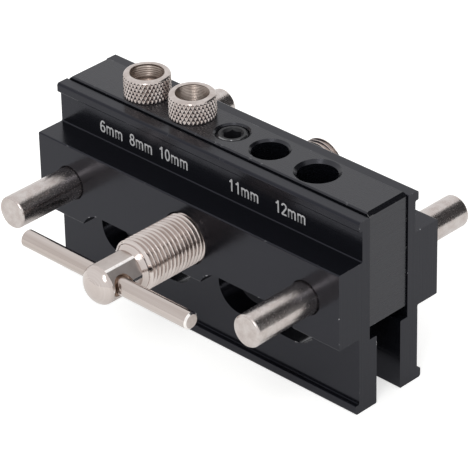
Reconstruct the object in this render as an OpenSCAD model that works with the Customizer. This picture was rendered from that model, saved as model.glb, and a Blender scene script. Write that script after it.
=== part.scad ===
// Self centering doweling jig.
// X runs along the row of drill holes, Y across the jaws, Z up.
// The origin is the middle of the guide block's underside, the face that
// stops against the edge of the board.
// The model is drawn with the jaws closed on the block, as in the photograph.

/* [Guide block] */
// Height of the guide block
block_h = 36.9; // [34:0.1:44]
// Wall left beside the widest hole, on each side of the block
block_wall = 1.45; // [1.1:0.05:3]
// Wall between the outermost drill hole and a guide rod
rod_wall = 1.45; // [1:0.05:4]
// Wall between a guide rod and the end of the block
end_wall = 7.3; // [4:0.1:12]
// Bevel along the long top edges of the block
block_bevel = 0.4; // [0.1:0.1:0.8]
// Bevel along the short top edges of the block
block_end_bevel = 1.1; // [0.1:0.1:1.5]
// Gap between the block and each closed jaw
jaw_clearance = 0.15; // [0.1:0.05:0.5]

/* [Drill holes] */
// Distance of the inner bush from the middle of the block
bush_in_x = 15.9; // [13.5:0.1:19]
// Distance between the two bushes
bush_step = 18.5; // [15:0.1:24]
// Distance of the smaller plain guide hole from the middle
plain_in_x = 14.8; // [12.5:0.1:18]
// Distance between the two plain guide holes
plain_step = 18.4; // [15:0.1:24]
// Diameter of the smaller plain guide hole
plain_a_d = 11; // [8:0.1:12]
// Diameter of the larger plain guide hole
plain_b_d = 12; // [8:0.1:13.5]
// Bevel at the mouth of the smaller plain hole
plain_a_bevel = 0.7; // [0.3:0.1:1]
// Bevel at the mouth of the larger plain hole
plain_b_bevel = 1; // [0.3:0.1:1.2]

/* [Drill bushes] */
// How far the knurled head stands out from the thread
bush_head_out = 0.75; // [0.5:0.05:1.4]
// Height of the knurled head of a bush
bush_head_h = 7.1; // [5:0.1:12]
// Rounding of the head's upper rim
bush_rim_r = 0.9; // [0.4:0.1:1.1]
// Bevel under the head
bush_foot_bevel = 0.3; // [0.1:0.1:0.6]
// Wall of the larger bush, from its bore to the crests of its thread
bush_wall = 1.3; // [1.1:0.05:2]
// Pitch of the bush's thread
bush_pitch = 1; // [0.75:0.05:1.25]
// Length of the threaded shank under the head
bush_shank_l = 24; // [14:0.5:30]
// Guide bore of the outer bush
bush_a_d = 6; // [5:0.1:8]
// Guide bore of the inner bush
bush_b_d = 10; // [9:0.1:11.5]
// Diameter of the wide mouth in the outer bush's head
bush_mouth_d = 10.2; // [9:0.1:11.5]
// Depth of that mouth
bush_mouth_h = 5; // [2:0.1:6]
// Bevel at the mouth of the inner bush
bush_mouth_bevel = 0.15; // [0.05:0.05:0.3]

/* [Jaws] */
// How far a jaw stands out past each end of the block
jaw_overhang = 0.5; // [0:0.1:4]
// How far the block stands above the top of the jaws
jaw_top_drop = 0.9; // [0.2:0.1:3]
// How far the jaws reach below the stop face
jaw_reach = 26.6; // [24:0.1:40]
// Depth of the inner shoulder below the stop face
shoulder_drop = 3.8; // [2:0.1:6]
// Closed gap between the lower faces, the thinnest board
board_min = 10; // [8:0.1:13]
// Thickness of the web behind the size marks
web_t = 3.05; // [2:0.05:5]
// How far the top lip stands out from the web
top_lip_out = 1.3; // [1:0.1:2.5]
// Height of the top lip
top_lip_h = 3; // [2:0.1:4]
// Cove under the top lip
cove_r = 0.4; // [0.2:0.05:0.5]
// Depth of the boss from the jaw's inner face
boss_t = 12.65; // [10:0.05:16]
// Wall of the boss above and below the lead screw
boss_wall = 4.4; // [2:0.1:6]
// Thickness of the lower plate
plate_t = 7.3; // [5:0.1:9]
// How far the bottom lip stands out from the lower plate
foot_out = 1.5; // [1.3:0.1:2.5]
// Height of the bottom lip
foot_h = 3; // [2:0.1:5]
// Rounding of the lips' outer corners
lip_r = 0.8; // [0.3:0.1:0.9]
// Rounding of the bottom lip's upper corner
foot_r = 0.3; // [0.1:0.1:0.7]
// Cove above the bottom lip
foot_cove_r = 0.2; // [0.1:0.05:0.4]
// Rounding of the boss's and plate's corners
edge_r = 0.4; // [0.1:0.1:0.6]

/* [Sight windows] */
// Height of a window, the cutter's diameter
window_h = 16; // [12:0.1:18.5]
// Width of the land between the two windows
window_land = 10.4; // [8:0.1:16]
// Width left between a window and the end of the jaw
window_side = 16.8; // [13:0.1:24]
// Middle of a window below the stop face
window_drop = 5; // [4.4:0.1:8]

/* [Guide rods] */
// Diameter of the guide rods
rod_d = 10; // [8:0.1:12]
// Height of the rods and of the lead screw above the stop face
axis_z = 10.6; // [9.4:0.1:12.4]
// Length of each rod in front of the middle plane
rod_front = 44.3; // [43:0.1:46]
// Length of the left rod behind the middle plane
left_rod_rear = 44.7; // [43:0.1:50]
// Length of the right rod behind the middle plane
right_rod_rear = 43.6; // [43:0.1:50]
// Bevel on the rod ends
rod_bevel = 0.6; // [0.3:0.1:1]
// Radial clearance of the rods in the jaws
rod_clearance = 0.05; // [0.02:0.01:0.1]
// Bevel at the mouths of the jaws' rod bores
bore_bevel = 0.4; // [0.2:0.1:0.8]

/* [Lead screw] */
// Outer diameter of the lead screw's thread
screw_d = 15.8; // [13.4:0.1:18]
// Pitch of the lead screw
screw_pitch = 1.5; // [1:0.05:2]
// End of the front thread, in front of the middle plane
thread_front = 41.5; // [39:0.1:42]
// End of the rear thread, behind the middle plane
thread_rear = 39; // [36:0.1:44]
// Radial clearance of the thread crests in their holes
screw_clearance = 0.06; // [0.02:0.01:0.1]
// Width of the groove in the middle of the screw
groove_w = 7; // [5:0.1:8.2]
// Depth of that groove below the thread crests
groove_h = 1.7; // [1.2:0.1:2.2]
// Diameter of the turned head in front of the thread
head_d = 12; // [10.4:0.1:13]
// Width across the six flats milled on the head
hex_w = 10.8; // [10:0.1:11.8]
// Length of the domed nose of the head
nose_l = 3.3; // [1:0.1:4]
// Turned land between the flats and the nose
nose_land = 0.4; // [0.1:0.1:1]
// Length of the slope from the head up to the thread
shoulder_l = 1.8; // [0.6:0.1:2.4]
// Turn of the six flats against the cross hole
hex_turn = 3; // [1:0.1:29]

/* [Tommy bar] */
// Diameter of the tommy bar
bar_d = 5.3; // [4:0.1:6.2]
// Length of the tommy bar
bar_l = 66.4; // [50:0.1:90]
// How far the bar's middle lies to the left of the screw
bar_shift = 0.75; // [0:0.05:3]
// Bevel on the bar ends
bar_bevel = 0.7; // [0.3:0.1:1]
// Distance of the cross hole from the end of the front thread
cross_hole_y = 9; // [7:0.1:12]
// Distance of the tip of the head from the cross hole
head_end = 7.6; // [6.4:0.1:9]
// Radial clearance of the bar in the cross hole
bar_clearance = 0.07; // [0.02:0.01:0.1]
// How far the mouths of the cross hole are wider all round than the bar
cross_mouth_out = 0.85; // [0.3:0.05:1.1]
// Width of the land that carries the bar, in the middle of the head
cross_land = 6; // [4:0.1:7]

/* [Retaining screw] */
// Outer diameter of the retaining screw
keeper_d = 10; // [8.6:0.1:11.6]
// Pitch of the retaining screw
keeper_pitch = 1; // [0.75:0.25:1.5]
// Clearance of its plain point in the groove of the lead screw
point_clearance = 0.1; // [0.05:0.05:0.3]
// How far its top lies below the top of the block
keeper_drop = 0.3; // [0:0.1:1]
// Width across the flats of its socket
socket_w = 5; // [4:0.1:5.8]
// Depth of its socket
socket_h = 5; // [3:0.1:7]
// Turn of its socket about its own axis
socket_turn = 45; // [0:1:59]
// Bevel round its socket and its top edge
keeper_bevel = 0.4; // [0.2:0.1:0.6]
// Bevel at the mouth of its hole
keeper_hole_bevel = 0.55; // [0.3:0.05:0.8]

/* [Hidden] */

// How far cutting tools run past the face they cut
over = 1;
// Facets of the round shapes
$fn = 96;
// Facets of one rounded corner of the jaw's section
corner_steps = 5;
// Outer and root points of one thread turn, as shares of the pitch
thread_shares = [0.06, 0.43, 0.57, 0.94];
// Depth of a thread as a share of its pitch
thread_depth_share = 0.6;
// Clearance of the bushes' thread crests in the block
fit_gap = 0.05;
// Gap left above and below the retaining screw's point
point_gap = 0.2;

// Sizes worked out from the ones above
screw_r = screw_d / 2;
bush_thread_d = bush_b_d + 2 * bush_wall;
bush_head_d = bush_thread_d + 2 * bush_head_out;
bush_hole_r = bush_thread_d / 2 + fit_gap;
block_w = 2 * (max(bush_hole_r, plain_a_d / 2, plain_b_d / 2) + block_wall);
bush_a_x = -bush_in_x - bush_step;
bush_b_x = -bush_in_x;
plain_a_x = plain_in_x;
plain_b_x = plain_in_x + plain_step;
rod_x = max(bush_hole_r - bush_a_x, plain_b_x + plain_b_d / 2) + rod_wall + rod_d / 2;
block_l = 2 * (rod_x + rod_d / 2 + end_wall);
jaw_l = block_l + 2 * jaw_overhang;
window_in = window_land / 2 + window_h / 2;
window_out = jaw_l / 2 - window_side - window_h / 2;
jaw_in = block_w / 2 + jaw_clearance;
jaw_low_in = board_min / 2;
web_out = jaw_in + web_t;
lip_out = web_out + top_lip_out;
boss_out = jaw_in + boss_t;
plate_out = jaw_low_in + plate_t;
foot_out_y = plate_out + foot_out;
jaw_top = block_h - jaw_top_drop;
boss_top = axis_z + screw_r + boss_wall;
boss_foot = axis_z - screw_r - boss_wall;
head_r = head_d / 2;
bar_y = thread_front + cross_hole_y;
screw_front = bar_y + head_end;
nose_r = (head_r * head_r + nose_l * nose_l) / (2 * nose_l);
flat_front = screw_front - nose_l - nose_land;
flat_rear = thread_front + shoulder_l;
cross_mouth_r = bar_d / 2 + cross_mouth_out;
groove_r = screw_r - groove_h;
journal_end = block_w / 2;
keeper_foot = axis_z + screw_r + point_gap;
keeper_tip = axis_z + groove_r + point_gap;
keeper_top = block_h - keeper_drop;
point_r = groove_w / 2 - point_clearance;

black = [0.16, 0.16, 0.18];
nickel = [0.78, 0.75, 0.72];
steel = [0.1, 0.1, 0.11];

// One rounded corner at b, between the points a and c
function unit(v) = v / norm(v);
function near_turn(t) = t > 180 ? t - 360 : t < -180 ? t + 360 : t;
function arc_points(m, r, from, turn) =
    [for (i = [0:corner_steps]) m + r * [cos(from + turn * i / corner_steps),
                                         sin(from + turn * i / corner_steps)]];
function corner(a, b, c, r) =
    let (u = unit(a - b), w = unit(c - b), half = acos(u * w) / 2)
    let (m = b + unit(u + w) * r / sin(half), p = b + u * r / tan(half), q = b + w * r / tan(half))
    let (from = atan2(p.y - m.y, p.x - m.x), to = atan2(q.y - m.y, q.x - m.x))
    r == 0 ? [b] : arc_points(m, r, from, near_turn(to - from));
// An outline given as [x, y, corner radius] at each corner
function rounded(list) =
    let (n = len(list), flat = [for (p = list) [p.x, p.y]])
    [for (i = [0:n - 1]) each corner(flat[(i + n - 1) % n], flat[i], flat[(i + 1) % n], list[i].z)];

// Thread turns as rings, as [radius, place] points from one end to the other
function ring_points(low, high, pitch, r_out, r_in) =
    let (turns = floor((high - low) / pitch), first = (high - low - turns * pitch) / 2)
    [for (i = [0:turns - 1]) let (z = low + first + i * pitch)
        each [[r_in, z + thread_shares[0] * pitch], [r_out, z + thread_shares[1] * pitch],
              [r_out, z + thread_shares[2] * pitch], [r_in, z + thread_shares[3] * pitch]]];

// Turns a shape drawn along Z so that it runs along Y, Z going to +Y
module along_y() rotate([-90, 0, 0]) children();
module along_x() rotate([0, 90, 0]) children();

// A round bar along Z with bevelled ends
module bevelled_bar(low, high, r, bevel) {
    rotate_extrude() polygon([[0, low], [r - bevel, low], [r, low + bevel],
                              [r, high - bevel], [r - bevel, high], [0, high]]);
}

// A cutter for a hole along Z with a bevelled mouth at its top
module hole_cutter(low, top, r, bevel) {
    rotate_extrude() polygon([[0, low], [r, low], [r, top - bevel], [r + bevel, top],
                              [r + bevel, top + over], [0, top + over]]);
}

// One face of the block, bevelled at its two upper corners
module block_face(w, bevel) {
    polygon([[-w / 2, 0], [w / 2, 0], [w / 2, block_h - bevel], [w / 2 - bevel, block_h],
             [-w / 2 + bevel, block_h], [-w / 2, block_h - bevel]]);
}

// The bar between the jaws: drill holes down its centreline, cross holes for the rods and the screw
module guide_block() color(black) difference() {
    intersection() {
        translate([-block_l / 2, 0, 0]) rotate([90, 0, 90]) linear_extrude(block_l)
            block_face(block_w, block_bevel);
        translate([0, block_w / 2, 0]) rotate([90, 0, 0]) linear_extrude(block_w)
            block_face(block_l, block_end_bevel);
    }
    for (x = [bush_a_x, bush_b_x])
        translate([x, 0, -over]) cylinder(r = bush_hole_r, h = block_h + 2 * over);
    translate([plain_a_x, 0, 0]) hole_cutter(-over, block_h, plain_a_d / 2, plain_a_bevel);
    translate([plain_b_x, 0, 0]) hole_cutter(-over, block_h, plain_b_d / 2, plain_b_bevel);
    hole_cutter(axis_z, block_h, keeper_d / 2, keeper_hole_bevel);
    for (x = [-rod_x, rod_x])
        translate([x, -block_w, axis_z]) along_y() cylinder(r = rod_d / 2, h = 2 * block_w);
    translate([0, -block_w, axis_z]) along_y()
        cylinder(r = screw_r + screw_clearance, h = 2 * block_w);
}

// Section of the rear jaw, as [y, z, corner radius]
jaw_section = [
    [jaw_in, -shoulder_drop, 0],
    [jaw_low_in, -shoulder_drop, edge_r],
    [jaw_low_in, -jaw_reach, edge_r],
    [foot_out_y, -jaw_reach, lip_r],
    [foot_out_y, -jaw_reach + foot_h, foot_r],
    [plate_out, -jaw_reach + foot_h, foot_cove_r],
    [plate_out, boss_foot, cove_r],
    [boss_out, boss_foot, edge_r],
    [boss_out, boss_top, edge_r],
    [web_out, boss_top, cove_r],
    [web_out, jaw_top - top_lip_h, cove_r],
    [lip_out, jaw_top - top_lip_h, lip_r / 2],
    [lip_out, jaw_top, lip_r],
    [jaw_in, jaw_top, edge_r]
];

// A sight window: two round ends and the straight part between them
module window_cutter() {
    for (x = [window_in, window_out])
        translate([x, 0, -window_drop]) along_y() cylinder(d = window_h, h = boss_out + over);
    translate([window_in, 0, -window_drop - window_h / 2])
        cube([window_out - window_in, boss_out + over, window_h]);
}

// A bore along Y through the jaw's boss, bevelled at both faces
module boss_bore(x, z, r) {
    translate([x, 0, z]) along_y() rotate_extrude()
        polygon([[0, 0], [r + bore_bevel, 0], [r + bore_bevel, jaw_in], [r, jaw_in + bore_bevel],
                 [r, boss_out - bore_bevel], [r + bore_bevel, boss_out],
                 [r + bore_bevel, boss_out + over], [0, boss_out + over]]);
}

// The rear jaw. The front jaw is its mirror image
module jaw() difference() {
    translate([-jaw_l / 2, 0, 0]) rotate([90, 0, 90]) linear_extrude(jaw_l)
        polygon(rounded(jaw_section));
    for (side = [0, 1]) mirror([side, 0, 0]) {
        window_cutter();
        boss_bore(rod_x, axis_z, rod_d / 2 + rod_clearance);
    }
    boss_bore(0, axis_z, screw_r + screw_clearance);
}

module rear_jaw() color(black) jaw();
module front_jaw() color(black) mirror([0, 1, 0]) jaw();

// A plain rod, pressed into the block and free in the jaws
module guide_rod(x, rear) color(nickel) translate([x, 0, axis_z]) along_y()
    bevelled_bar(-rod_front, rear, rod_d / 2, rod_bevel);
module left_guide_rod() guide_rod(-rod_x, left_rod_rear);
module right_guide_rod() guide_rod(rod_x, right_rod_rear);

// Outline of the turned lead screw, from its domed nose to its rear end
screw_root = screw_r - thread_depth_share * screw_pitch;
screw_outline = concat(
    arc_points([0, nose_r - screw_front], nose_r, -90, asin(head_r / nose_r)),
    [[head_r, -flat_rear], [screw_root, -thread_front]],
    ring_points(-thread_front, -journal_end, screw_pitch, screw_r, screw_root),
    [[screw_root, -journal_end], [screw_r, -journal_end + groove_h / 2],
     [screw_r, -groove_w / 2], [groove_r, -groove_w / 2],
     [groove_r, groove_w / 2], [screw_r, groove_w / 2],
     [screw_r, journal_end - groove_h / 2], [screw_root, journal_end]],
    ring_points(journal_end, thread_rear, screw_pitch, screw_r, screw_root),
    [[screw_root, thread_rear], [0, thread_rear]]);

// The screw with its domed head, milled to six flats and cross drilled for the tommy bar
module lead_screw() color(nickel) translate([0, 0, axis_z]) difference() {
    along_y() rotate_extrude() polygon(screw_outline);
    for (i = [0:5]) rotate([0, 60 * i + 30 - hex_turn, 0])
        translate([hex_w / 2, -flat_front, -head_r])
            cube([head_r, flat_front - flat_rear, 2 * head_r]);
    translate([-head_r - over, -bar_y, 0]) along_x()
        cylinder(r = bar_d / 2 + bar_clearance, h = 2 * head_r + 2 * over);
    for (side = [-1, 1])
        translate([side * (cross_land / 2 + head_r), -bar_y, 0]) along_x()
            cylinder(r = cross_mouth_r, h = 2 * head_r, center = true);
}

// The loose bar that turns the lead screw
module tommy_bar() color(nickel) translate([-bar_shift, -bar_y, axis_z]) along_x()
    bevelled_bar(-bar_l / 2, bar_l / 2, bar_d / 2, bar_bevel);

// A drill bush: knurled head on the block, threaded shank in it
bush_root = bush_thread_d / 2 - thread_depth_share * bush_pitch;
bush_profile = concat(
    [[0, -bush_shank_l], [bush_root, -bush_shank_l]],
    ring_points(-bush_shank_l, 0, bush_pitch, bush_thread_d / 2, bush_root),
    [[bush_root, 0], [bush_head_d / 2 - bush_foot_bevel, 0], [bush_head_d / 2, bush_foot_bevel]],
    arc_points([bush_head_d / 2 - bush_rim_r, bush_head_h - bush_rim_r], bush_rim_r, 0, 90),
    [[0, bush_head_h]]);

module bush(x) translate([x, 0, block_h]) difference() {
    rotate_extrude() polygon(bush_profile);
    children();
}

module drill_bush_6mm() color(nickel) bush(bush_a_x) {
    translate([0, 0, -bush_shank_l - over])
        cylinder(d = bush_a_d, h = bush_shank_l + bush_head_h + 2 * over);
    translate([0, 0, bush_head_h - bush_mouth_h]) cylinder(d = bush_mouth_d, h = bush_mouth_h + over);
}

module drill_bush_10mm() color(nickel) bush(bush_b_x)
    hole_cutter(-bush_shank_l - over, bush_head_h, bush_b_d / 2, bush_mouth_bevel);

// The set screw that keeps the lead screw from travelling
keeper_root = keeper_d / 2 - thread_depth_share * keeper_pitch;
keeper_profile = concat(
    [[0, keeper_tip], [point_r, keeper_tip], [point_r, keeper_foot],
     [keeper_root, keeper_foot]],
    ring_points(keeper_foot, keeper_top, keeper_pitch, keeper_d / 2, keeper_root),
    [[keeper_root, keeper_top], [0, keeper_top]]);

module retaining_screw() color(steel) difference() {
    rotate_extrude() polygon(keeper_profile);
    translate([0, 0, keeper_top - socket_h]) rotate([0, 0, socket_turn])
        cylinder(r = socket_w / 2 / cos(30), h = socket_h + over, $fn = 6);
    translate([0, 0, keeper_top - keeper_bevel])
        cylinder(r1 = socket_w / 2, r2 = socket_w / 2 + 2 * keeper_bevel, h = 2 * keeper_bevel);
}

guide_block();
front_jaw();
rear_jaw();
left_guide_rod();
right_guide_rod();
lead_screw();
tommy_bar();
drill_bush_6mm();
drill_bush_10mm();
retaining_screw();
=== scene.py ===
# %% [markdown]
# # A self centering doweling jig
# Two black aluminium jaws close on a board, pulled together by one screw with a left hand
# thread in front and a right hand thread behind. A block between them guides the drill, so
# each hole lands in the middle of the board's edge.
#
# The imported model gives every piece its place. X runs along the row of drill holes, Y from
# the front jaw to the rear one and Z up, from the face that stops against the board. The two
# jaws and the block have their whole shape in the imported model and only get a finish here.
# The other pieces are modelled again, because they carry forms that are too fine for it:
# threads, a knurl, the rings of a tool.

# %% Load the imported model
import math
import bmesh
import bpy
from mathutils import Matrix, Vector


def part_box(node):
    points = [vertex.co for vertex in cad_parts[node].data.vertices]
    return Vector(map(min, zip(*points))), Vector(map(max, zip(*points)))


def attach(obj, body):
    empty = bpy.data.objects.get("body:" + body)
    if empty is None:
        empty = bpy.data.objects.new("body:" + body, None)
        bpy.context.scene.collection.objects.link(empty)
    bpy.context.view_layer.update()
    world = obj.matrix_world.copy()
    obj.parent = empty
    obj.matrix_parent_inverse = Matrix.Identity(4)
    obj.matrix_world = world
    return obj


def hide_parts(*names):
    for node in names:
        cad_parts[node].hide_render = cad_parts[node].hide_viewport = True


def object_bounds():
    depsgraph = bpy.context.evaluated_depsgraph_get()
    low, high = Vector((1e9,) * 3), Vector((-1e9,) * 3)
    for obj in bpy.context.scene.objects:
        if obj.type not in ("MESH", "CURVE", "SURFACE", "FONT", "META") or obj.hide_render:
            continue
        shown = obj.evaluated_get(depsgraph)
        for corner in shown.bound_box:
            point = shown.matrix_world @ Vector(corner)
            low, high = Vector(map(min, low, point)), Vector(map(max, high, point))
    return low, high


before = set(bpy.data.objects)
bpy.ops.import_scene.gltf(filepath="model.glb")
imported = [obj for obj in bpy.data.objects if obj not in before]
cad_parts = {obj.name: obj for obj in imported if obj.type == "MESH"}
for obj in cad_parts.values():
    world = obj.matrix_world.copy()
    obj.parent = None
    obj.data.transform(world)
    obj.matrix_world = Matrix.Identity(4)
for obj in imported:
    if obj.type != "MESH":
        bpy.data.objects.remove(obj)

MM = 0.001


def packed(node):
    """Lowest corner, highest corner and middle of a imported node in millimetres.

    The facets of a round piece end a hundredth inside its true size. Rounding to 0.05 mends it.
    """
    low, high = ([round(c / MM * 20) / 20 for c in corner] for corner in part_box(node))
    return low, high, [(a + b) / 2 for a, b in zip(low, high)]


cad_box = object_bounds()
print("packed box in mm:", [[round(c / MM, 1) for c in corner] for corner in cad_box])

# %% [markdown]
# ## The camera
# The photograph was taken with a long lens from the front right, a little above. A camera can
# be moved by eye until the picture looks right, or be worked out from edges whose places are
# known. Here the edges of the jaws gave it, so the render can be laid over the photograph.
# The frame leans by a degree and a quarter, as a hand held camera does.

# %% Camera
# The photograph's width and the focal length of its lens, both in its pixels.
PHOTO_PX, FOCAL_PX = 470, 3342.9
AZIMUTH, ELEVATION, LEAN = (math.radians(a) for a in (44.60, 31.19, -1.266))
DISTANCE, AIM_Z = 972.8 * MM, 3.95 * MM
SLIDE_RIGHT, SLIDE_UP = 0.11 * MM, -1.24 * MM
back = Vector((math.sin(AZIMUTH) * math.cos(ELEVATION),
               -math.cos(AZIMUTH) * math.cos(ELEVATION), math.sin(ELEVATION)))
right = Vector((math.cos(AZIMUTH), math.sin(AZIMUTH), 0))
up = back.cross(right)
leaning_right = math.cos(LEAN) * right + math.sin(LEAN) * up
leaning_up = -math.sin(LEAN) * right + math.cos(LEAN) * up
camera_data = bpy.data.cameras.new("long lens")
camera_data.sensor_width = 36
camera_data.lens = FOCAL_PX / PHOTO_PX * camera_data.sensor_width
camera_data.clip_start, camera_data.clip_end = 0.05, 20
camera = bpy.data.objects.new("camera", camera_data)
bpy.context.scene.collection.objects.link(camera)
place = (Vector((0, 0, AIM_Z)) + SLIDE_RIGHT * leaning_right + SLIDE_UP * leaning_up
         + DISTANCE * back)
turn = Matrix((leaning_right, leaning_up, back)).transposed().to_4x4()
camera.matrix_world = Matrix.Translation(place) @ turn
bpy.context.scene.camera = camera
bpy.context.scene.view_settings.view_transform = "Standard"
print("lens", round(camera_data.lens, 1), "mm")

# %% [markdown]
# ## Floor, light and background
# Black anodising and nickel show what stands round them more than a colour of their own, so
# lamps alone would leave them dark with a few hard spots. A white tent does better for small
# tools: light comes evenly from all sides. Three things stand in it. A soft box on the left
# gives the forms a lit and a shaded side without showing in the metal, one beside the camera
# puts a glint on every edge that turns towards it, and a black card behind on the right, a
# flag, draws the dark band along the bright rods. Seen directly or in a reflection the tent
# is plain white, while the light it gives is a little lower, so colours come out as they are
# written.

# %% Node helper and colours
def add(tree, kind, links=None, **settings):
    """Adds a node. settings are its properties, links its inputs: a socket to join, or a value."""
    node = tree.nodes.new(kind)
    for name, value in settings.items():
        setattr(node, name, value)
    for socket, source in (links or {}).items():
        if isinstance(source, bpy.types.NodeSocket):
            tree.links.new(source, node.inputs[socket])
        else:
            node.inputs[socket].default_value = source
    return node


def colour(hex_value):
    """An sRGB hex value such as "c9bfb9" as linear red, green, blue and alpha."""
    parts = [int(hex_value[i:i + 2], 16) / 255 for i in (0, 2, 4)]
    return [c / 12.92 if c <= 0.04045 else ((c + 0.055) / 1.055) ** 2.4 for c in parts] + [1]


def material(name, **sockets):
    """A new material with one Principled shader. Base_Color=... sets its socket Base Color."""
    made = bpy.data.materials.new(name)
    made.use_nodes = True
    shader = made.node_tree.nodes["Principled BSDF"]
    for socket, value in sockets.items():
        shader.inputs[socket.replace("_", " ")].default_value = value
    return made, made.node_tree, shader


print("sRGB 808080 is", round(colour("808080")[0], 3), "in linear light")

# %% White tent and soft boxes
# A strength of 1 is plain white.
TENT_LIGHT = 0.7
world = bpy.data.worlds.new("white tent")
bpy.context.scene.world = world
world.use_nodes = True
tent = world.node_tree
tent.nodes.clear()
rays = add(tent, "ShaderNodeLightPath")
seen = rays.outputs["Is Camera Ray"]
for kind in ("Is Glossy Ray", "Is Transmission Ray"):
    seen = add(tent, "ShaderNodeMath", {0: seen, 1: rays.outputs[kind]},
               operation="MAXIMUM").outputs[0]
lit = add(tent, "ShaderNodeBackground", {"Color": colour("ffffff"), "Strength": TENT_LIGHT})
white = add(tent, "ShaderNodeBackground", {"Color": colour("ffffff"), "Strength": 1.0})
both = add(tent, "ShaderNodeMixShader", {0: seen, 1: lit.outputs[0], 2: white.outputs[0]})
add(tent, "ShaderNodeOutputWorld", {"Surface": both.outputs[0]})


def soft_box(name, at, wide, tall, power, glint):
    """A flat lamp at a place in metres, turned to the jig. Without glint no metal mirrors it."""
    data = bpy.data.lights.new(name, "AREA")
    data.shape, data.size, data.size_y, data.energy = "RECTANGLE", wide, tall, power
    lamp = bpy.data.objects.new(name, data)
    lamp.location = at
    lamp.rotation_euler = Vector(at).to_track_quat("Z", "Y").to_euler()
    lamp.visible_camera, lamp.visible_glossy = False, glint
    bpy.context.scene.collection.objects.link(lamp)


soft_box("soft box above", (-0.7, -0.5, 0.8), 0.6, 0.6, 2.5, False)
soft_box("tall soft box by the camera", (0.427, -0.74, 0.77), 0.28, 0.7, 2.6, True)
print("tent and", len(bpy.data.lights), "soft boxes")

# %% Paper floor
# Matt paper, nearly white. The glow lifts it to plain white in the picture without lighting
# the jig, and the jig's shadow stays on it. Metal mirrors it with half of that glow.
FLOOR_Z = cad_box[0].z
FLOOR_HALF, FLOOR_GLOW, MIRRORED_SHARE = 4, 0.6, 0.5
floor_paper, tree, shader = material("matt white paper", Base_Color=colour("e6e6e4"),
                                     Roughness=0.9)
rays = add(tree, "ShaderNodeLightPath")
mirrored = add(tree, "ShaderNodeMath", {0: rays.outputs["Is Glossy Ray"], 1: MIRRORED_SHARE},
               operation="MULTIPLY")
seen = add(tree, "ShaderNodeMath", {0: rays.outputs["Is Camera Ray"], 1: mirrored.outputs[0]},
           operation="MAXIMUM")
lift = add(tree, "ShaderNodeMath", {0: seen.outputs[0], 1: FLOOR_GLOW}, operation="MULTIPLY")
glow = add(tree, "ShaderNodeEmission", {"Color": colour("ffffff"), "Strength": lift.outputs[0]})
total = add(tree, "ShaderNodeAddShader", {0: shader.outputs[0], 1: glow.outputs[0]})
tree.links.new(total.outputs[0], tree.nodes["Material Output"].inputs["Surface"])


def stage_card(name, bm, paint):
    """Makes a bmesh into a plain object with one material, a card for the studio round the jig."""
    mesh = bpy.data.meshes.new(name)
    bm.to_mesh(mesh)
    bm.free()
    mesh.materials.append(paint)
    card = bpy.data.objects.new(name, mesh)
    bpy.context.scene.collection.objects.link(card)
    return card


bm = bmesh.new()
bmesh.ops.create_grid(bm, x_segments=1, y_segments=1, size=FLOOR_HALF)
bmesh.ops.translate(bm, verts=bm.verts, vec=(0, 0, FLOOR_Z))
stage_card("floor", bm, floor_paper)
print("floor at z", round(FLOOR_Z / MM, 1), "mm")

# %% Black flag
FLAG_AWAY, FLAG_TURN, FLAG_WIDTH, FLAG_TOP = 0.8, math.radians(58), 0.9, 1.14
flock, _, _ = material("black flock", Base_Color=colour("3a3a3c"), Roughness=0.9)
bm = bmesh.new()
bmesh.ops.create_grid(bm, x_segments=1, y_segments=1, size=0.5)
bmesh.ops.scale(bm, verts=bm.verts, vec=(FLAG_WIDTH, FLAG_TOP, 1))
for angle, axis in ((math.radians(90), "X"), (FLAG_TURN - math.radians(90), "Z")):
    bmesh.ops.rotate(bm, verts=bm.verts, cent=(0, 0, 0), matrix=Matrix.Rotation(angle, 3, axis))
bmesh.ops.translate(bm, verts=bm.verts, vec=(
    FLAG_AWAY * math.cos(FLAG_TURN), FLAG_AWAY * math.sin(FLAG_TURN), FLAG_TOP / 2 + FLOOR_Z))
flag = stage_card("black_flag", bm, flock)
flag.visible_camera = flag.visible_shadow = flag.visible_diffuse = False
print("flag", FLAG_WIDTH, "by", FLAG_TOP, "m")

# %% [markdown]
# ## Black anodised aluminium
# Anodising grows a thin glassy layer of oxide on the metal and dyes it black. What the eye
# gets is a soft mirror over black, as on lacquer: pale where it faces the white tent, nearly
# black in the corners that face other black metal. A plain black with one roughness would
# pass for plastic. The oxide follows the marks of the saw, the mill and the extrusion die,
# so noise that is stretched along one axis gives each face its fine lines one way, and it
# has the same scale on every face, with nothing to unwrap. Outer edges have lost a few
# specks of black to other tools.

# %% Anodised materials
# Millimetres from line to line behind the die and behind the saw. Both are finer on the real
# jig, and are drawn as coarse as they need to be to show.
DIE_LINES, SAW_LINES, LINE_STRETCH = 0.45, 0.6, 0.015
# Width of the worn patches and of the clouds in the sheen, and how far in an edge wears.
PATCHES, CLOUDS, EDGE_REACH = 3.846, 11.1, 0.35


def lines(tree, where, along, spacing):
    """Fine lines that run along one axis, at a spacing in millimetres, as a height of 0 to 1."""
    scale = [1 / (spacing * MM)] * 3
    scale["XYZ".index(along)] *= LINE_STRETCH
    stretched = add(tree, "ShaderNodeMapping", {"Vector": where, "Scale": scale})
    return add(tree, "ShaderNodeTexNoise", {"Vector": stretched.outputs[0], "Scale": 1.0,
                                            "Detail": 3.0, "Roughness": 0.6}).outputs["Fac"]


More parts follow.
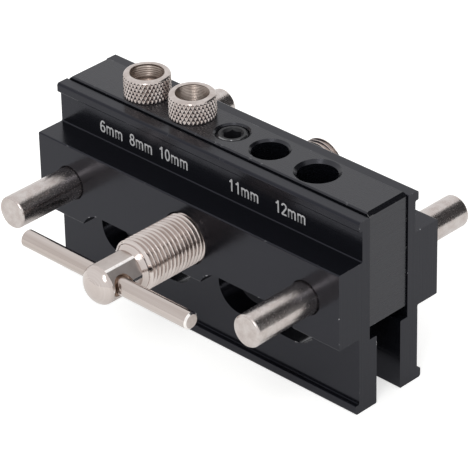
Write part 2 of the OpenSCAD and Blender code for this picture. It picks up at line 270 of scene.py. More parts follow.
def worn_edges(tree, where, reach, share):
    """1 where an outer edge has lost its black. Rays sent inwards end early near such an edge."""
    inward = add(tree, "ShaderNodeAmbientOcclusion", {"Distance": reach * MM}, inside=True,
                 only_local=True, samples=6)
    near = add(tree, "ShaderNodeMapRange", {"Value": inward.outputs["AO"], "From Min": 0.92,
                                            "From Max": 0.6})
    patches = add(tree, "ShaderNodeTexNoise", {"Vector": where, "Scale": 1 / (PATCHES * MM),
                                               "Detail": 5.0, "Roughness": 0.75})
    chips = add(tree, "ShaderNodeMapRange", {"Value": patches.outputs["Fac"],
                                             "From Min": 1 - share, "From Max": 1.03 - share})
    return add(tree, "ShaderNodeMath", {0: near.outputs[0], 1: chips.outputs[0]},
               operation="MULTIPLY").outputs[0]


def anodised(name, tint, ior, low, high, end_lines, wear):
    """Black oxide whose roughness runs from low to high. The sawn ends have lines of their own."""
    made, tree, shader = material(name, IOR=ior, Specular_Tint=colour(tint))
    place = add(tree, "ShaderNodeTexCoord")
    where = place.outputs["Object"]
    sides = add(tree, "ShaderNodeSeparateXYZ", {0: place.outputs["Normal"]})
    at_end = add(tree, "ShaderNodeMath", {0: sides.outputs["X"]}, operation="ABSOLUTE")
    at_end = add(tree, "ShaderNodeMath", {0: at_end.outputs[0], 1: 0.8}, operation="GREATER_THAN")
    sawn = add(tree, "ShaderNodeMapRange", {"Value": lines(tree, where, end_lines, SAW_LINES),
                                            "To Min": -0.8, "To Max": 1.8})
    height = add(tree, "ShaderNodeMix", {"Factor": at_end.outputs[0],
                                         "A": lines(tree, where, "X", DIE_LINES),
                                         "B": sawn.outputs[0]}, data_type="FLOAT")
    bump = add(tree, "ShaderNodeBump", {"Height": height.outputs[0], "Strength": 0.6,
                                        "Distance": 0.02 * MM})
    tree.links.new(bump.outputs[0], shader.inputs["Normal"])
    worn = worn_edges(tree, where, EDGE_REACH, wear)
    skin = add(tree, "ShaderNodeMix", {0: worn, 6: colour("0b0c10"), 7: colour("c4c4c6")},
               data_type="RGBA")
    tree.links.new(skin.outputs[2], shader.inputs["Base Color"])
    tree.links.new(worn, shader.inputs["Metallic"])
    cloud = add(tree, "ShaderNodeTexNoise", {"Vector": where, "Scale": 1 / (CLOUDS * MM),
                                             "Detail": 5.0, "Roughness": 0.7})
    both = add(tree, "ShaderNodeMath", {0: cloud.outputs["Fac"], 1: height.outputs[0]},
               operation="ADD")
    rough = add(tree, "ShaderNodeMapRange", {"Value": both.outputs[0], "From Min": 0.7,
                                             "From Max": 1.3, "To Min": low, "To Max": high})
    tree.links.new(rough.outputs[0], shader.inputs["Roughness"])
    return made


# The extrusion comes smooth out of its die, so the tent shows in it as a soft grey sheen.
anodised_jaw = anodised("black anodised extrusion", "e7e8ff", 1.4, 0.14, 0.26, "Z", 0.38)
# The milled bar is a little rougher under its oxide, and its top mirrors the tent more.
anodised_block = anodised("black anodised milled bar", "f3f3ff", 1.54, 0.2, 0.32, "Y", 0.42)
for name, finish in (("front_jaw", anodised_jaw), ("rear_jaw", anodised_jaw),
                     ("guide_block", anodised_block)):
    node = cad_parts[name]
    node.data.materials.clear()
    node.data.materials.append(finish)
    print(name, "gets", finish.name)

# %% [markdown]
# ## Nickel plated steel
# The rods, the screw, the bar and the bushes are steel under a thin coat of nickel, which is
# a warm silver, a little yellower than chrome. The coat copies what lies under it: ground
# rods keep a fine grain, turned faces keep rings, milled ones stay dull. Each could be a
# material built by itself, but the metal is one and the same, so one function makes them
# all and only takes the colours, the roughness and the grain that each process leaves.
# Three of them also carry painted light in their colour: a lighter, warmer bounce in the
# cross hole, a darker shade in the bores and an almost white highlight on the lands.

# %% Nickel materials
# A grain that is drawn out is 50 times as long as it is wide. A cloud is eight grains wide.
GRAIN_STRETCH, CLOUD_SHARE = 0.02, 0.12


def nickel(name, light, dark, low, high, grain, depth, along=""):
    """Plating over a grain with a size and depth in millimetres, drawn out along axes or not."""
    made, tree, shader = material(name, Metallic=1.0)
    scale = [1 / (grain * MM)] * 3
    for axis in along:
        scale["XYZ".index(axis)] *= GRAIN_STRETCH
    place = add(tree, "ShaderNodeTexCoord").outputs["Object"]
    where = add(tree, "ShaderNodeMapping", {"Vector": place, "Scale": scale}).outputs[0]
    grains = add(tree, "ShaderNodeTexNoise", {"Vector": where, "Scale": 1.0, "Detail": 2.0,
                                              "Roughness": 0.5})
    cloud = add(tree, "ShaderNodeTexNoise", {"Vector": where, "Scale": CLOUD_SHARE, "Detail": 3.0,
                                             "Roughness": 0.6})
    tone = add(tree, "ShaderNodeMapRange", {"Value": cloud.outputs["Fac"], "From Min": 0.35,
                                            "From Max": 0.65})
    skin = add(tree, "ShaderNodeMix", {0: tone.outputs[0], 6: colour(dark), 7: colour(light)},
               data_type="RGBA")
    tree.links.new(skin.outputs[2], shader.inputs["Base Color"])
    rough = add(tree, "ShaderNodeMapRange", {"Value": grains.outputs["Fac"], "From Min": 0.3,
                                             "From Max": 0.7, "To Min": low, "To Max": high})
    tree.links.new(rough.outputs[0], shader.inputs["Roughness"])
    bump = add(tree, "ShaderNodeBump", {"Height": grains.outputs["Fac"], "Strength": 1.0,
                                        "Distance": depth * MM})
    tree.links.new(bump.outputs[0], shader.inputs["Normal"])
    return made


# The grains left by grinding and turning are finer than this in steel. They are drawn at
# about the size of one pixel, or they wouldn't show at all.
# Ground: a soft sheen, whose dark band breaks up into grains.
nickel_rod = nickel("nickel plated ground rod", "cdc6c3", "beb4b0", 0.14, 0.28, 0.3, 0.03)
# Turned: nearly a mirror, with rings round its axis.
nickel_screw = nickel("nickel plated turned steel", "d2c9c5", "bfb4af", 0.08, 0.18, 0.25, 0.03,
                      "XZ")
# Milled: dull beside the turned faces, so each flat reads as one grey plane.
nickel_milled = nickel("nickel plated milled flat", "cdc4c0", "beb4af", 0.32, 0.42, 0.6, 0.002)
# Drilled: rough, with a base colour lighter and warmer than the rest, which paints in the warm
# light that bounces round the hole.
nickel_hole_painted_bounce = nickel("nickel plated drilled hole with painted bounce light", "e6d3c5", "cfbaab", 0.5, 0.62, 0.3, 0.004)
# Painted highlight: an almost white base colour on the lands and the bar's chamfers stands in for
# the glint that light puts on them.
nickel_painted_highlight = nickel("nickel plated land with painted highlight", "fbf8f6", "efe9e6", 0.1, 0.2, 0.3, 0.004)
# Drawn: the smoothest, with a grain that runs along the bar.
nickel_bar = nickel("nickel plated drawn bar", "cdc4c0", "b6aba5", 0.06, 0.15, 0.4, 0.008, "X")
# Knurled: clean and bright, since the knurl itself breaks up the light.
nickel_bush = nickel("nickel plated knurled steel", "cbc2be", "b9aea9", 0.1, 0.2, 0.3, 0.006)
# Reamed: dull, with a darker base colour that paints in the shade inside every bore.
nickel_bore_painted_shade = nickel("nickel plated reamed bore with painted shade", "b9ada5", "9f928a", 0.28, 0.42, 0.3, 0.006)
print(sum(m.name.startswith("nickel") for m in bpy.data.materials), "nickel finishes")

# %% [markdown]
# ## Pieces made on a lathe
# Rods, bar, screw and bushes are all turned. A cylinder with a bevel would do for the rods,
# but not for a domed head or a counterbore, so all of them are made as on a lathe: a profile
# is drawn as points of radius and height, joined by edges, and the spin operator sweeps it
# once round. The same two helpers then serve every turned piece.

# %% Lathe helpers
WELD = 0.0005


def chain(bm, points, closed=False):
    """Vertices at the points, joined by edges in a row. Points are in millimetres."""
    verts = [bm.verts.new(Vector(p) * MM) for p in points]
    edges = [bm.edges.new(pair) for pair in zip(verts, verts[1:])]
    if closed:
        edges.append(bm.edges.new((verts[-1], verts[0])))
    return verts, edges


def lathe(bm, profile, steps=128, closed=False):
    """Spins [radius, height] points round the Z axis. closed joins the last one to the first."""
    verts, edges = chain(bm, [(r, 0, z) for r, z in profile], closed)
    bmesh.ops.spin(bm, geom=verts + edges, cent=(0, 0, 0), axis=(0, 0, 1), angle=2 * math.pi,
                   steps=steps, use_merge=True, use_duplicate=False)


def turn_and_move(bm, degrees, axis, to):
    """Turns a bmesh about an axis through the origin, then moves it by millimetres."""
    bmesh.ops.rotate(bm, verts=bm.verts, cent=(0, 0, 0),
                     matrix=Matrix.Rotation(math.radians(degrees), 3, axis))
    bmesh.ops.translate(bm, verts=bm.verts, vec=Vector(to) * MM)


def weld(bm):
    """Merges what the spin left double and points all faces outwards."""
    bmesh.ops.remove_doubles(bm, verts=bm.verts, dist=WELD * MM)
    bmesh.ops.recalc_face_normals(bm, faces=bm.faces)


def piece(bm, name, body, finish, replaces=(), smooth=32):
    """Makes a bmesh an object that rides on a body and stands for the nodes it replaces.

    Edges that turn by fewer degrees than smooth are shaded as round.
    """
    weld(bm)
    mesh = bpy.data.meshes.new(name)
    bm.to_mesh(mesh)
    bm.free()
    mesh.materials.append(finish)
    mesh.shade_smooth()
    mesh.set_sharp_from_angle(angle=math.radians(smooth))
    made = bpy.data.objects.new(name, mesh)
    made.modifiers.new("flat faces stay flat", "WEIGHTED_NORMAL").keep_sharp = True
    bpy.context.scene.collection.objects.link(made)
    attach(made, body)
    if replaces:
        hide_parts(*replaces)
    print(name, len(mesh.polygons), "faces")
    return made


print("turned pieces are welded at", WELD, "mm")

# %% [markdown]
# ## Guide rods and tommy bar
# Both jaws slide on two ground rods that are pressed through the block. The bar is drawn
# steel, cut off and chamfered, and lies loose in the head of the screw. All three are one
# profile with other numbers. A rod's bevels are rounded, as by a tumbler, and catch one
# small glint. The bar's are plain chamfers with a painted highlight: an almost white finish
# that shows as a pale ring.

# %% Guide rods
ROD_BEVEL = 0.8


def bar_profile(low, high, r, bevel, angles=(0, 22, 45, 68, 90)):
    """A round bar from pole to pole. More angles make the bevels at its ends rounder."""
    turn = [math.radians(a) for a in angles]
    return ([(0, low)]
            + [(r - bevel + bevel * math.sin(a), low + bevel - bevel * math.cos(a)) for a in turn]
            + [(r - bevel + bevel * math.cos(a), high - bevel + bevel * math.sin(a)) for a in turn]
            + [(0, high)])


for side in ("left", "right"):
    low, high, middle = packed(f"{side}_guide_rod")
    bm = bmesh.new()
    lathe(bm, bar_profile(low[1], high[1], (high[0] - low[0]) / 2, ROD_BEVEL))
    turn_and_move(bm, -90, "X", (middle[0], 0, middle[2]))
    piece(bm, f"{side}_rod_ground", "block", nickel_rod, [f"{side}_guide_rod"])

# %% Tommy bar
BAR_BEVEL = 0.55
low, high, bar_middle = packed("tommy_bar")
half_length, bar_r = (high[0] - low[0]) / 2, (high[2] - low[2]) / 2
bm = bmesh.new()
lathe(bm, bar_profile(-half_length, half_length, bar_r, BAR_BEVEL, (0, 90)), steps=96)
turn_and_move(bm, 90, "Y", bar_middle)
made = piece(bm, "tommy_bar_drawn", "bar", nickel_bar, ["tommy_bar"])
# Painted highlight: the chamfers at both ends get the almost white finish, which stands in for
# their glint.
made.data.materials.append(nickel_painted_highlight)
for face in made.data.polygons:
    if 0.3 < abs(face.normal.x) < 0.95:
        face.material_index = 1

# %% [markdown]
# ## Threads
# A thread is a ridge that climbs round a core. Rings or a bump on a cylinder look right from
# afar, but the outline shows that they don't climb. The same spin operator makes the real
# thing when each step also moves along the axis, by one pitch for each turn. One turn is
# spun, then repeated, wound past both ends and cut off square. The jig's screw has a left
# hand thread in front and a right hand one behind, so one turn moves both jaws.

# %% Thread helper
# Depth of every thread here, as a share of its pitch.
DEPTH = 0.6


def pour(source, target):
    """Adds one bmesh to another and frees it."""
    scratch = bpy.data.meshes.new("scratch")
    source.to_mesh(scratch)
    source.free()
    target.from_mesh(scratch)
    bpy.data.meshes.remove(scratch)


def one_turn(start, crest, root, pitch, hand, steps):
    """One turn of a ridge as a mesh. Its flanks lean 30 degrees each and its crest is round."""
    # Radius and share of the pitch, from just inside the core up to the crest.
    flank = [(root - 0.15, 0.02), (root, 0.06), (crest - 0.1, 0.395), (crest - 0.04, 0.42),
             (crest - 0.01, 0.45), (crest, 0.48)]
    ridge = flank + [(r, 1 - share) for r, share in reversed(flank)]
    bm = bmesh.new()
    verts, edges = chain(bm, [(r, 0, start + (share if hand > 0 else share - 1) * pitch)
                              for r, share in ridge], closed=True)
    bmesh.ops.spin(bm, geom=verts + edges, cent=(0, 0, 0), axis=(0, 0, 1), angle=2 * math.pi,
                   dvec=(0, 0, hand * pitch / steps * MM), steps=steps, use_merge=False,
                   use_duplicate=False)
    turn = bpy.data.meshes.new("one turn")
    bm.to_mesh(turn)
    bm.free()
    return turn


def thread(bm, low, high, crest, root, pitch, hand, chamfer, steps=72):
    """A ridge wound round the Z axis from low to high. hand is 1 for right and -1 for left.

    chamfer is how far the ridge stands out at its very ends. From there it grows at 45 degrees.
    """
    # Both hands start with the ridge at the same height over the X axis.
    start = low - 0.05 * pitch if hand > 0 else low + 0.95 * pitch
    turn = one_turn(start, crest, root, pitch, hand, steps)
    wound = bmesh.new()
    turn.transform(Matrix.Translation((0, 0, -pitch * MM)))
    for _ in range(math.ceil((high - low) / pitch) + 2):
        wound.from_mesh(turn)
        turn.transform(Matrix.Translation((0, 0, pitch * MM)))
    bpy.data.meshes.remove(turn)
    bmesh.ops.remove_doubles(wound, verts=wound.verts, dist=0.001 * MM)
    for end, way in ((high, 1), (low, -1)):
        bmesh.ops.bisect_plane(wound, geom=wound.verts[:] + wound.edges[:] + wound.faces[:],
                               plane_co=(0, 0, end * MM), plane_no=(0, 0, way), clear_outer=True)
    bmesh.ops.holes_fill(wound, edges=[e for e in wound.edges if e.is_boundary], sides=0)
    for v in wound.verts:
        r = math.hypot(v.co.x, v.co.y)
        inside = min(v.co.z - low * MM, high * MM - v.co.z)
        limit = (root + chamfer) * MM + inside
        if r > limit:
            v.co.x *= limit / r
            v.co.y *= limit / r
    pour(wound, bm)


# %% Lead screw
# The front thread starts a little behind the cross hole and runs out where the block
# begins. A groove in the smooth middle takes the point of the retaining screw.
low, high, middle = packed("lead_screw")
TIP, REAR, CREST, SCREW_Z = low[1], high[1], high[0], middle[2]
HOLE_Y, BEHIND_HOLE = bar_middle[1], 9
FRONT = HOLE_Y + BEHIND_HOLE
JOURNAL = packed("guide_block")[1][1]
PITCH, RUN_OUT, RIDGE_END = 1.5, 0.85, 0.15
ROOT, FRONT_BEVEL, REAR_BEVEL = CREST - DEPTH * PITCH, 0.25, 0.3
GROOVE_DEEP, GROOVE_HALF = 1.7, 3.5
GROOVE_R = CREST - GROOVE_DEEP
bm = bmesh.new()
lathe(bm, [(0, FRONT), (ROOT - FRONT_BEVEL, FRONT), (ROOT, FRONT + FRONT_BEVEL),
           (ROOT, -JOURNAL), (CREST, -JOURNAL + RUN_OUT), (CREST, -GROOVE_HALF),
           (GROOVE_R, -GROOVE_HALF), (GROOVE_R, GROOVE_HALF), (CREST, GROOVE_HALF),
           (CREST, JOURNAL - RUN_OUT), (ROOT, JOURNAL), (ROOT, REAR - REAR_BEVEL),
           (ROOT - REAR_BEVEL, REAR), (0, REAR)])
thread(bm, FRONT, -JOURNAL, CREST, ROOT, PITCH, -1, RIDGE_END)
thread(bm, JOURNAL, REAR, CREST, ROOT, PITCH, 1, RIDGE_END)
turn_and_move(bm, -90, "X", (0, 0, SCREW_Z))
piece(bm, "lead_screw_turned", "screw", nickel_screw, ["lead_screw"])

# %% [markdown]
# ## The six sided head
# The front end of the screw is first turned, with a domed nose and a shoulder that slopes up
# to the thread. Then six flats are milled along it, which leaves a narrow land of the turned
# surface between them and at both ends. Last comes the cross hole for the bar, with its wide
# mouths. A six sided prism with rounded ends would need each land drawn by hand. Booleans
# that follow the maker's own cuts leave them by themselves, so each cut is one boolean.
# The flats get the finish that their cut leaves, the hole a lighter and warmer copy that
# paints in bounce light, and the lands an almost white finish that paints in a highlight.

# %% Cutting helpers
def whole(bm, name):
    """A finished bmesh as a plain object, for a cut."""
    weld(bm)
    mesh = bpy.data.meshes.new(name)
    bm.to_mesh(mesh)
    bm.free()
    made = bpy.data.objects.new(name, mesh)
    bpy.context.scene.collection.objects.link(made)
    return made


def applied(thing):
    """The mesh of an object as Blender works it out, modifiers and all."""
    depsgraph = bpy.context.evaluated_depsgraph_get()
    return bpy.data.meshes.new_from_object(thing.evaluated_get(depsgraph))


def cut(base, tool):
    """Takes tool away from base. The tool is used up."""
    step = base.modifiers.new("cut", "BOOLEAN")
    step.operation, step.object, step.solver = "DIFFERENCE", tool, "EXACT"
    result = applied(base)
    base.modifiers.clear()
    base.data = result
    bpy.data.objects.remove(tool)


def cleaned(base):
    """The mesh of a cut object, its flat faces joined again, as a bmesh. It is used up."""
    bm = bmesh.new()
    bm.from_mesh(base.data)
    bpy.data.objects.remove(base)
    bmesh.ops.remove_doubles(bm, verts=bm.verts, dist=0.002 * MM)
    bmesh.ops.dissolve_limit(bm, angle_limit=math.radians(0.5), verts=bm.verts, edges=bm.edges)
    return bm


# %% Turned blank of the head
# The flats begin behind the domed nose and end before the shoulder.
HEAD_R, NOSE_R, SHOULDER_R, SHOULDER_EDGE, INTO_THREAD = 6.0, 7.3, 6.95, 0.25, 0.2
FLAT, FLAT_FRONT, FLAT_REAR, HEX_TURN = 5.4, TIP + 3.7, FRONT - 1.8, 3.0
bm = bmesh.new()
dome = [(NOSE_R * math.sin(math.radians(a)), TIP + NOSE_R - NOSE_R * math.cos(math.radians(a)))
        for a in range(0, 50, 3)]
# Radii and distances from the tip, where the dome rounds off into the side.
dome_edge = [(r, TIP + y) for r, y in ((5.71, 2.84), (5.88, 3.18), (5.97, 3.45), (HEAD_R, 3.65))]
lathe(bm, dome + dome_edge
      + [(HEAD_R, FLAT_REAR), (SHOULDER_R, FRONT - SHOULDER_EDGE),
         (SHOULDER_R, FRONT + INTO_THREAD), (0, FRONT + INTO_THREAD)], steps=192)
turn_and_move(bm, -90, "X", (0, 0, SCREW_Z))
head = whole(bm, "head")
print("blank", round(FRONT - TIP, 1), "mm long")

# %% Six flats and the cross hole
# The mouths are wide from 4.4 mm off the axis, and a cone leads down to the hole.
HOLE_R, MOUTH_R, MOUTH_FROM, BEYOND = 2.72, 3.5, 4.4, 9
CHIP = 2
for i in range(6):
    bm = bmesh.new()
    bmesh.ops.create_cube(bm, size=MM)
    bmesh.ops.scale(bm, verts=bm.verts, vec=(2 * HEAD_R, FLAT_REAR - FLAT_FRONT, CHIP))
    bmesh.ops.translate(bm, verts=bm.verts,
                        vec=Vector((0, (FLAT_REAR + FLAT_FRONT) / 2, FLAT + CHIP / 2)) * MM)
    turn_and_move(bm, 60 - HEX_TURN + 60 * i, "Y", (0, 0, SCREW_Z))
    cut(head, whole(bm, "flat"))
cone = MOUTH_FROM - (MOUTH_R - HOLE_R)
through = [(0, -BEYOND), (HOLE_R, -BEYOND), (HOLE_R, BEYOND), (0, BEYOND)]
mouth = [(0, cone), (HOLE_R, cone), (MOUTH_R, MOUTH_FROM), (MOUTH_R, BEYOND), (0, BEYOND)]
far_mouth = [(r, -away) for r, away in reversed(mouth)]
for profile in (through, mouth, far_mouth):
    bm = bmesh.new()
    lathe(bm, profile, steps=64)
    turn_and_move(bm, 90, "Y", (0, HOLE_Y, SCREW_Z))
    cut(head, whole(bm, "hole"))
made = piece(cleaned(head), "lead_screw_head", "screw", nickel_screw, ["lead_screw"],
             smooth=14)

# %% Finishes of the head
# A face belongs to the cross hole if it looks at the hole's middle line, and to a flat if it
# lies as far from the screw's axis as the flats do. What is left beside the flats is land,
# which gets the painted highlight. The hole gets its painted bounce light.
for finish in (nickel_milled, nickel_hole_painted_bounce, nickel_painted_highlight):
    made.data.materials.append(finish)
for face in made.data.polygons:
    middle, out = face.center / MM - Vector((0, 0, SCREW_Z)), face.normal
    from_hole = Vector((0, middle.y - HOLE_Y, middle.z))
    if from_hole.length < MOUTH_R + 0.02 and from_hole.dot(out) < -0.5:
        face.material_index = 2
    elif FLAT_FRONT < middle.y < FLAT_REAR and abs(out.y) < 0.02:
        face.material_index = 1 if abs(middle.dot(out) - FLAT) < 0.05 else 3
print([sum(f.material_index == i for f in made.data.polygons) for i in range(4)],
      "turned, milled, drilled and highlight painted faces")

# %% [markdown]
# ## Drill bushes
# A drill bush is a hardened tube that guides the drill. The head is knurled for the fingers:
# a wheel presses in rows of diamond shaped pits, and leaves two sets of raised ridges that
# lean both ways and cross like a net. A texture that displaces a plain tube would need very
# many faces for sharp ridges. Here the side of the head is spun in a grid that follows them,
# and each vertex is pressed in by its distance from the nearest one. The rim was rounded
# after the knurling, so the ridges run out into it. The bore keeps the fine rings of the
# tool, in a duller finish with a darker base colour that paints in the shade inside it,
# which shows as a warm brown.

# %% Knurled bushes
BLOCK_TOP = packed("guide_block")[1][2]
low, high, _ = packed("drill_bush_10mm")
BUSH_R, HEAD_H, SHANK = (high[0] - low[0]) / 2, high[2] - BLOCK_TOP, BLOCK_TOP - low[2]
RIM_R, FOOT_BEVEL, INNER_R = 0.9, 0.25, 5.25
BUSH_CREST, BUSH_PITCH, BUSH_RIDGE_END = 6.3, 1.0, 0.1
BUSH_ROOT = BUSH_CREST - DEPTH * BUSH_PITCH
# Ridges each way round the head, how far they lean, depth of a pit, and rows from one
# crossing to the next. LAND is half the width of a ridge, as a share of their spacing.
RIDGES, LEAN_DEG, PIT, FINE = 36, 27, 0.42, 8
LAND = 0.5 / FINE
ROW = 2 * math.pi * BUSH_R / RIDGES / math.tan(math.radians(LEAN_DEG)) / FINE


def knurl(bm):
    """Presses pits into the side of a head, so that crossed ridges stay between them."""
    for v in bm.verts:
        r, z = math.hypot(v.co.x, v.co.y) / MM, v.co.z / MM
        if r < BUSH_R - PIT or z < 0:
            continue
        turn = math.atan2(v.co.y, v.co.x) / (2 * math.pi) * RIDGES
        slide = z * math.tan(math.radians(LEAN_DEG)) / (2 * math.pi * BUSH_R) * RIDGES
        away = min(abs((turn + way * slide) % 1 - 0.5) for way in (1, -1))
        pressed = min(r, BUSH_R - PIT * max(0, away - LAND) / (0.5 - LAND)) / r
        v.co.x *= pressed
        v.co.y *= pressed


def turned(r, top, low, pitch, depth):
    """The wall of a bore with the rings of a turning tool, from its top down."""
    count = int((top - low) / pitch) * 2
    return [(r + depth * (i % 2), top - i * pitch / 2) for i in range(count)] + [(r, low)]


def bush(name, body, inside, replaces):
    """A screw-in bush in place of a packed one. inside is its bore's profile from the top."""
    x = packed(replaces)[2][0]
    rows = [(BUSH_R, ROW * i) for i in range(1, int((HEAD_H - RIM_R) / ROW) + 1)]
    rim = [(BUSH_R - RIM_R + RIM_R * math.cos(a), HEAD_H - RIM_R + RIM_R * math.sin(a))
           for a in (math.radians(90 * i / 12) for i in range(1, 13))]
    bm = bmesh.new()
    foot = [(BUSH_ROOT, -SHANK), (BUSH_ROOT, 0), (BUSH_R - FOOT_BEVEL, 0), (BUSH_R, FOOT_BEVEL)]
    lathe(bm, foot + rows + rim + inside, steps=RIDGES * FINE, closed=True)
    middles = [(f, f.calc_center_median()) for f in bm.faces]
    bmesh.ops.poke(bm, faces=[f for f, middle in middles
                              if middle.xy.length > (BUSH_R - PIT) * MM and middle.z > 0])
    knurl(bm)
    thread(bm, -SHANK, 0, BUSH_CREST, BUSH_ROOT, BUSH_PITCH, 1, BUSH_RIDGE_END, steps=60)
    bmesh.ops.translate(bm, verts=bm.verts, vec=Vector((x, 0, BLOCK_TOP)) * MM)
    made = piece(bm, name, body, nickel_bush, [replaces], smooth=30)
    # Painted shade: the faces of the bore get the darker finish.
    made.data.materials.append(nickel_bore_painted_shade)
    for face in made.data.polygons:
        from_axis = face.center - Vector((x * MM, 0, 0))
        if from_axis.xy.length < INNER_R * MM and face.normal.xy.dot(from_axis.xy) < 0:
            face.material_index = 1


# Radii of the bores, and radius and depth of the wide mouth over the smaller one. The rings
# in the larger bore end at RINGS_END, further down than anyone can see.
BORE_6, BORE_10, WIDE_R, WIDE_DEEP, RINGS_END = 3.0, 5.0, 5.1, 5, -9
EDGE, FOOT_EDGE = 0.1, 0.2
bush("bush_6mm_knurled", "bush_6mm",
     [(INNER_R, HEAD_H), (WIDE_R, HEAD_H - 0.12)]
     + turned(WIDE_R, HEAD_H - 0.4, HEAD_H - WIDE_DEEP, 0.7, 0.16)
     + [(BORE_6 + EDGE, HEAD_H - WIDE_DEEP), (BORE_6, HEAD_H - WIDE_DEEP - EDGE),
        (BORE_6, -SHANK + FOOT_EDGE), (BORE_6 + FOOT_EDGE, -SHANK)],
     "drill_bush_6mm")
bush("bush_10mm_knurled", "bush_10mm",
     [(BORE_10 + 0.12, HEAD_H), (BORE_10, HEAD_H - EDGE)]
     + turned(BORE_10, HEAD_H - 0.2, RINGS_END, 0.5, 0.14)
     + [(BORE_10, -SHANK + FOOT_EDGE), (BORE_10 + FOOT_EDGE, -SHANK)],
     "drill_bush_10mm")

# %% [markdown]
# ## Retaining screw
# A set screw stands over the middle of the lead screw, and its point runs in the groove
# there, so it keeps the lead screw in place. The code calls it the keeper. It is blackened in
# a hot salt bath, which leaves a thin oily oxide: darker and duller than the anodising beside
# it, with bright steel where the key has rubbed the rim and the socket. The socket could be
# part of the profile if it were round. It has six sides, so it is pressed into the turned
# blank by a boolean, as the maker does with a broach.

# %% Black oxide
OXIDE_GRAIN = 0.4545
# Oxide on turned steel: a deep black with a greasy, uneven shine.
black_oxide, tree, shader = material("black oxide steel", IOR=1.36)
where = add(tree, "ShaderNodeTexCoord").outputs["Object"]
grains = add(tree, "ShaderNodeTexNoise", {"Vector": where, "Scale": 1 / (OXIDE_GRAIN * MM),
                                          "Detail": 4.0, "Roughness": 0.7})
skin = add(tree, "ShaderNodeMix", {0: grains.outputs["Fac"], 6: colour("0c0c0e"),
                                   7: colour("26262a")}, data_type="RGBA")
tree.links.new(skin.outputs[2], shader.inputs["Base Color"])
rough = add(tree, "ShaderNodeMapRange", {"Value": grains.outputs["Fac"], "From Min": 0.3,
                                         "From Max": 0.7, "To Min": 0.3, "To Max": 0.5})
tree.links.new(rough.outputs[0], shader.inputs["Roughness"])
bump = add(tree, "ShaderNodeBump", {"Height": grains.outputs["Fac"], "Strength": 1.0,
                                    "Distance": 0.02 * MM})
tree.links.new(bump.outputs[0], shader.inputs["Normal"])
# Steel with the oxide rubbed off: a thin grey ring round the socket.
rubbed_steel = nickel("black oxide rubbed bright", "9a9a9c", "5c5c5f", 0.12, 0.25, 0.3, 0.006)
print(black_oxide.name, "and", rubbed_steel.name)

# %% Retaining screw
low, high, _ = packed("retaining_screw")
KEEPER_R, KEEPER_TOP, KEEPER_TIP = high[0], high[2], low[2]
KEEPER_PITCH, KEEPER_RIDGE_END, OVER_SCREW = 1.0, -0.2, 0.2
KEEPER_ROOT, KEEPER_FOOT = KEEPER_R - DEPTH * KEEPER_PITCH, SCREW_Z + CREST + OVER_SCREW
GROOVE_PLAY, POINT_BEVEL, RIM = 0.1, 0.2, 0.3
POINT_R = GROOVE_HALF - GROOVE_PLAY
# Across the flats of the socket. MOUTH is the radius of its bevel at the top face, and the
# faces with their middles above RUBBED have lost their oxide.
SOCKET, SOCKET_DEEP, SOCKET_TURN = 5.0, 5.0, 45
MOUTH, MOUTH_DEEP, OVERRUN, RUBBED = 3.3, 0.9, 0.1, KEEPER_TOP - 0.19
bm = bmesh.new()
# The rim is one bevel in two halves, of which the upper one gets rubbed.
lathe(bm, [(0, KEEPER_TIP), (POINT_R - POINT_BEVEL, KEEPER_TIP),
           (POINT_R, KEEPER_TIP + POINT_BEVEL), (POINT_R, KEEPER_FOOT),
           (KEEPER_ROOT, KEEPER_FOOT), (KEEPER_ROOT, KEEPER_TOP - RIM),
           (KEEPER_ROOT - RIM / 2, KEEPER_TOP - RIM / 2), (KEEPER_ROOT - RIM, KEEPER_TOP),
           (0, KEEPER_TOP)], steps=96)
keeper = whole(bm, "keeper")
corner = SOCKET / math.sqrt(3) * MM
bm = bmesh.new()
bmesh.ops.create_cone(bm, cap_ends=True, segments=6, radius1=corner, radius2=corner,
                      depth=2 * SOCKET_DEEP * MM)
turn_and_move(bm, SOCKET_TURN, "Z", (0, 0, KEEPER_TOP))
cut(keeper, whole(bm, "socket"))
bm = bmesh.new()
cone = [(MOUTH + rise, KEEPER_TOP + rise) for rise in (-MOUTH_DEEP, -RIM, OVERRUN)]
lathe(bm, [(0, cone[0][1])] + cone + [(0, cone[-1][1])], steps=96)
cut(keeper, whole(bm, "bevel"))
bm = cleaned(keeper)
thread(bm, KEEPER_FOOT, KEEPER_TOP, KEEPER_R, KEEPER_ROOT, KEEPER_PITCH, 1, KEEPER_RIDGE_END)
made = piece(bm, "retaining_screw_blackened", "block", black_oxide, ["retaining_screw"])
made.data.materials.append(rubbed_steel)
for face in made.data.polygons:
    if face.center.z > RUBBED * MM and 0.3 < face.normal.z < 0.9:
        face.material_index = 1

# %% [markdown]
# ## Size marks
# The drill sizes are marked by laser on the web of the front jaw. The beam burns the dye out
# of the anodising and leaves a dull pale grey, with no depth that the eye can see. A text
# object would bring the corners of a printed font. A laser draws each sign as a few strokes
# with round ends, so here too each sign is a few strokes: curves with a round bevel, made
# into meshes and pressed nearly flat against the web.

# %% Laser marked finish
# Bleached oxide: pale and matt, where the rest of the jaw is black and glossy.
marked, _, _ = material("laser marked anodising", Base_Color=colour("b9b9bb"), Roughness=0.6)
print(marked.name)

# %% Strokes of the signs
def arc(x, z, rx, rz, start, end, steps=14):
    """Points of a part of an ellipse, its angles in degrees."""
    turn = [math.radians(start + (end - start) * i / steps) for i in range(steps + 1)]
    return [(x + rx * math.cos(a), z + rz * math.sin(a)) for a in turn]


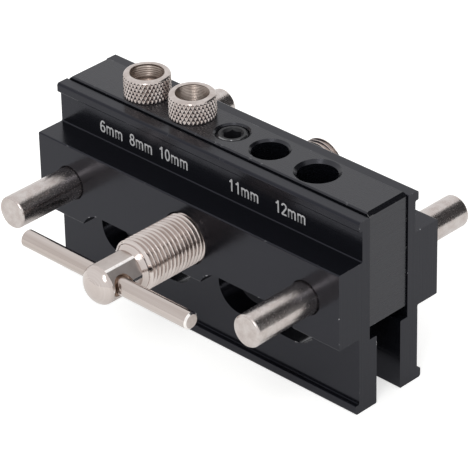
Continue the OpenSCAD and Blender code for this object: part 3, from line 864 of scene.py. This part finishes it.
# Each sign is its width and its strokes, in shares of the height of a digit.
SIGNS = {
    "0": (0.64, [arc(0.27, 0.5, 0.2, 0.44, 0, 360, 28)]),
    "1": (0.64, [[(0.12, 0.74), (0.22, 0.8), (0.32, 0.94), (0.34, 1)], [(0.34, 1), (0.34, 0)]]),
    "2": (0.64, [arc(0.27, 0.71, 0.21, 0.23, 170, -35) + [(0.06, 0.06)],
                 [(0.04, 0.06), (0.52, 0.06)]]),
    "6": (0.64, [arc(0.27, 0.31, 0.21, 0.25, 0, 360, 24),
                 arc(0.3, 0.42, 0.25, 0.52, 50, 180, 14) + [(0.06, 0.31)]]),
    "8": (0.64, [arc(0.27, 0.74, 0.17, 0.2, 0, 360, 24),
                 arc(0.27, 0.29, 0.21, 0.24, 0, 360, 24)]),
    "m": (0.93, [[(0.08, 0), (0.08, 0.72)],
                 [(0.08, 0)] + arc(0.24, 0.5, 0.16, 0.16, 180, 0) + [(0.4, 0)],
                 [(0.4, 0)] + arc(0.56, 0.5, 0.16, 0.16, 180, 0) + [(0.72, 0)]]),
}
print("signs", " ".join(SIGNS))

# %% Size marks
# Outer face of the web, height of a digit and width of a stroke. PRESSED is what is left of
# a stroke's thickness, and GAP the space after a word's last sign, as a share of the height.
WEB_Y, MARK_H, STROKE, PRESSED, GAP = -11.0, 3.9, 0.52, 0.08, 0.1
# Each mark with the x and z of its middle, as measured in the photograph.
MARKS = [("6mm", -38.8, 27.4), ("8mm", -26.55, 27.5), ("10mm", -13.3, 27.9),
         ("11mm", 14.7, 28.0), ("12mm", 32.8, 28.2)]


def stroke(points):
    """A mesh line through points of x and z in millimetres, nearly flat on the web."""
    curve = bpy.data.curves.new("stroke", "CURVE")
    curve.dimensions, curve.use_fill_caps = "3D", True
    curve.bevel_depth, curve.bevel_resolution = STROKE / 2 * MM, 2
    line = curve.splines.new("POLY")
    line.points.add(len(points) - 1)
    for point, (x, z) in zip(line.points, points):
        point.co = (x * MM, 0, z * MM, 1)
    holder = bpy.data.objects.new("stroke", curve)
    bpy.context.scene.collection.objects.link(holder)
    drawn = applied(holder)
    bpy.data.objects.remove(holder)
    flat = Matrix.Diagonal((1, PRESSED, 1, 1))
    drawn.transform(Matrix.Translation((0, WEB_Y * MM, 0)) @ flat)
    return drawn


bm = bmesh.new()
for words, x, z in MARKS:
    at = x - MARK_H * (sum(SIGNS[sign][0] for sign in words) - GAP) / 2
    for sign in words:
        wide, strokes = SIGNS[sign]
        for points in strokes:
            drawn = stroke([(at + across * MARK_H, z + (height - 0.5) * MARK_H)
                            for across, height in points])
            bm.from_mesh(drawn)
            bpy.data.meshes.remove(drawn)
        at += wide * MARK_H
piece(bm, "size_marks", "front_jaw_body", marked).visible_glossy = False
